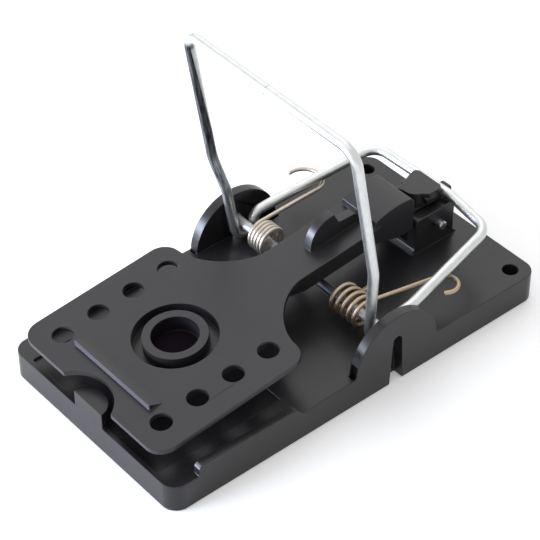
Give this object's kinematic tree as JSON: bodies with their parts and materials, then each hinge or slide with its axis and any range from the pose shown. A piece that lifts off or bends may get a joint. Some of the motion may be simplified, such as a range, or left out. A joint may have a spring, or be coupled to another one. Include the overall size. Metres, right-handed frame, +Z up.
{
  "type": "snap mouse trap",
  "caption": "Snap mouse trap with a moulded base, a tilting trigger pedal with bait cup, and a sprung wire bow that swings down onto the pedal when the catch lets go.",
  "frame": {"origin": "centre of the base's underside, midway between its ends and its sides", "axes": "+Z up; +X to the rear, from the pedal's end to the latch end; +Y to the left"},
  "size_m": [0.0924, 0.051, 0.0607],
  "materials": {
    "base_plastic": "fine moulded grain, dark grey",
    "pedal_plastic": "fine moulded grain, dark grey",
    "cup_plastic": "fine moulded grain, dark grey",
    "bow_wire": "bright plated wire",
    "axle_steel": "plain drawn rod",
    "spring_wire": "hard drawn spring wire with a warm tint",
    "pin_steel": "plain steel pin"
  },
  "bodies": {
    "base": {"base": "base_plastic", "axle_rod": "axle_steel", "pivot_pin": "pin_steel", "left_spring": "spring_wire", "right_spring": "spring_wire"},
    "trigger": {"trigger_pedal": "pedal_plastic", "bait_cup": "cup_plastic"},
    "bow": {"strike_bow": "bow_wire"}
  },
  "joints": [
    {"name": "bow_swing", "type": "hinge", "parent": "base", "child": "bow", "pos_m": [0.008, 0, 0.01035], "axis": [0, -1, 0], "range_deg": [0, 72], "deforming": ["left_spring", "right_spring"]},
    {"name": "pedal_tilt", "type": "hinge", "parent": "base", "child": "trigger", "pos_m": [0.0368, 0, 0.0118], "axis": [0, -1, 0], "range_deg": [0, 3.2]}
  ]
}
